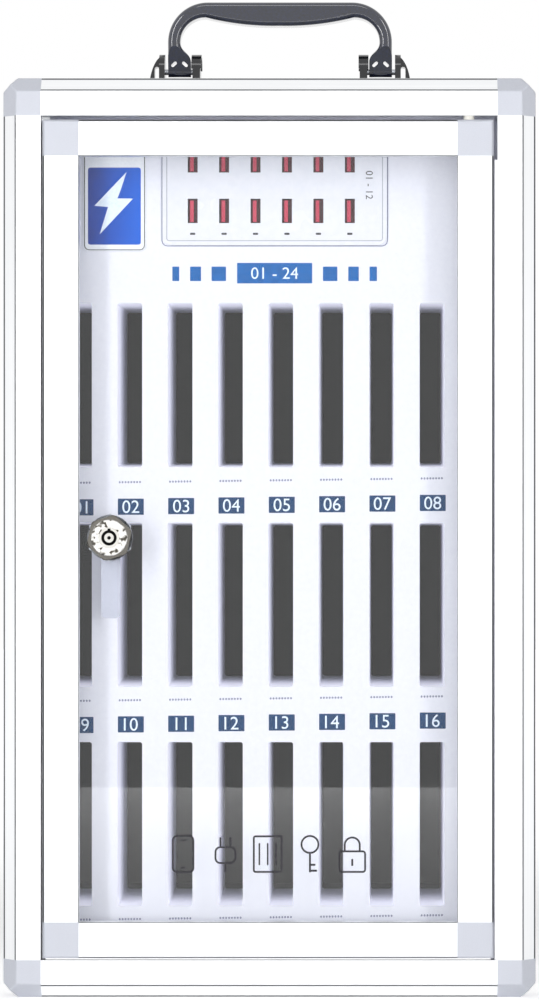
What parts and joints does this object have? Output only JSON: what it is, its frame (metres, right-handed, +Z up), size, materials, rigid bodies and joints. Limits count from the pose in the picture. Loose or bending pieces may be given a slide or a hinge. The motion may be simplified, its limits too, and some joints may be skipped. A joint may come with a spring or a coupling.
{
  "type": "phone locker box",
  "caption": "Aluminium framed locker box with a clear lockable door, rows of slots that hold phones on edge, a USB charging panel and a folding carrying handle.",
  "frame": {"origin": "middle of the case's underside", "axes": "+X to the right seen from the front, +Y from the door to the back, +Z up"},
  "size_m": [0.27, 0.1816, 0.5138],
  "materials": {
    "rail_aluminium": "satin silver anodised extrusion",
    "corner_plastic": "moulded grey ABS, satin",
    "case_board": "thin hard board laminated with silver film",
    "nylon_white": "natural nylon",
    "bracket_black": "gloss black die casting",
    "pin_steel": "zinc plated",
    "rivet_steel": "zinc plated",
    "panel_white": "white ABS, satin",
    "crate_black": "black ABS sheet",
    "sign_white": "printed plastic plate",
    "hub_plastic": "white ABS",
    "port_steel": "tin plated",
    "tongue_red": "red moulded plastic",
    "circuit_board": "glass epoxy board",
    "inlet_black": "black moulded nylon",
    "pane_clear": "clear acrylic",
    "lock_chrome": "bright chrome",
    "handle_black": "gloss black ABS"
  },
  "bodies": {
    "case": {"front_rail_left": "rail_aluminium", "front_rail_right": "rail_aluminium", "front_rail_top": "rail_aluminium", "front_rail_bottom": "rail_aluminium", "corner_front_top_left": "corner_plastic", "corner_front_top_right": "corner_plastic", "corner_front_bottom_left": "corner_plastic", "corner_front_bottom_right": "corner_plastic", "rear_rail_left": "rail_aluminium", "rear_rail_right": "rail_aluminium", "rear_rail_top": "rail_aluminium", "rear_rail_bottom": "rail_aluminium", "corner_rear_top_left": "corner_plastic", "corner_rear_top_right": "corner_plastic", "corner_rear_bottom_left": "corner_plastic", "corner_rear_bottom_right": "corner_plastic", "edge_rail_top_left": "rail_aluminium", "edge_rail_top_right": "rail_aluminium", "edge_rail_bottom_left": "rail_aluminium", "edge_rail_bottom_right": "rail_aluminium", "left_board": "case_board", "right_board": "case_board", "top_board": "case_board", "bottom_board": "case_board", "back_panel": "case_board", "pivot_pins": "nylon_white", "handle_bracket_left": "bracket_black", "handle_bracket_right": "bracket_black", "handle_pins": "pin_steel", "bracket_rivets": "rivet_steel", "slot_panel": "panel_white", "hub_shelf": "crate_black", "partitions": "crate_black", "sign_plate": "sign_white", "hub_faceplate": "hub_plastic", "port_shells": "port_steel", "port_tongues": "tongue_red", "hub_housing": "hub_plastic", "hub_circuit": "circuit_board", "power_inlet": "inlet_black", "inlet_screws": "pin_steel", "crate_shelf_1": "crate_black", "crate_shelf_2": "crate_black", "crate_shelf_3": "crate_black"},
    "door": {"door_pane": "pane_clear", "door_corner_top_left": "corner_plastic", "door_corner_top_right": "corner_plastic", "door_corner_bottom_left": "corner_plastic", "door_corner_bottom_right": "corner_plastic", "door_rail_left": "rail_aluminium", "door_rail_right": "rail_aluminium", "door_rail_top": "rail_aluminium", "door_rail_bottom": "rail_aluminium", "lock_body": "lock_chrome", "lock_washer": "pin_steel", "lock_nut": "pin_steel"},
    "lock": {"lock_plug": "lock_chrome", "lock_cam": "pin_steel", "cam_screw": "pin_steel"},
    "handle": {"carry_handle": "handle_black"}
  },
  "joints": [
    {"name": "door_hinge", "type": "hinge", "parent": "case", "child": "door", "pos_m": [0.1011, -0.0855, 0], "axis": [0, 0, 1], "range_deg": [0, 115]},
    {"name": "lock_turn", "type": "hinge", "parent": "door", "child": "lock", "pos_m": [-0.0808, -0.09, 0.233], "axis": [0, 1, 0], "range_deg": [0, 90]},
    {"name": "handle_fold", "type": "hinge", "parent": "case", "child": "handle", "pos_m": [0.0034, 0, 0.4775], "axis": [1, 0, 0], "range_deg": [-90, 90]}
  ]
}
